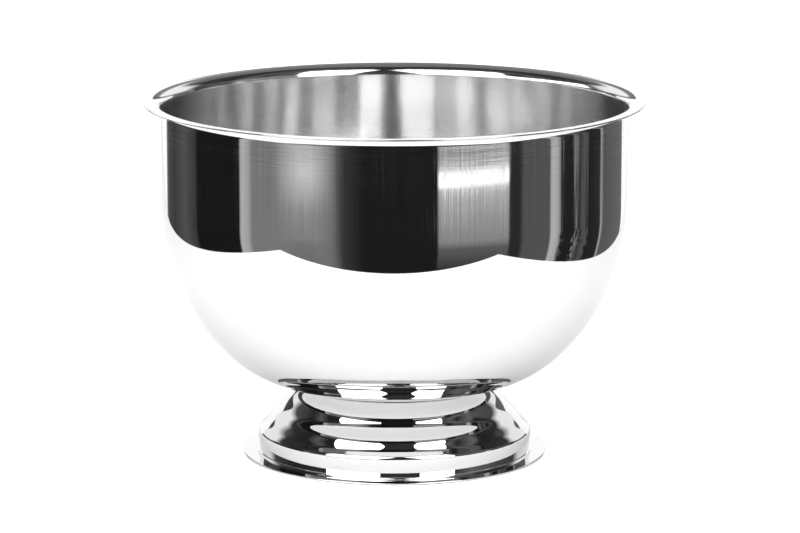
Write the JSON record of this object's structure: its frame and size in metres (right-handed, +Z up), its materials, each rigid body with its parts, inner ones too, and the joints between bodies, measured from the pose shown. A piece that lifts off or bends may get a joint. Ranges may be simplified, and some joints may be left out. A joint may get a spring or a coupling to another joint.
{
  "type": "footed champagne bowl",
  "caption": "Wide polished steel bowl with a straight wall, rounded belly and narrow out-turned rim flange, on a flared pedestal foot with a rounded shoulder and a flat base flange.",
  "frame": {"origin": "on the table, at the centre of the foot", "axes": "+Z up along the axis of the bowl; the bowl is turned, so X and Y are alike"},
  "size_m": [0.36, 0.36, 0.2567],
  "materials": {
    "bowl_steel": "polished, with faint spinning marks round the wall",
    "foot_steel": "mirror polished",
    "disc_steel": "plain mill finish",
    "fastener_steel": "satin"
  },
  "bodies": {
    "root": {"bowl_shell": "bowl_steel", "pedestal_foot": "foot_steel", "reinforcing_disc": "disc_steel", "threaded_stud": "fastener_steel", "load_washer": "fastener_steel", "spring_washer": "fastener_steel", "hex_nut": "fastener_steel"}
  },
  "joints": []
}
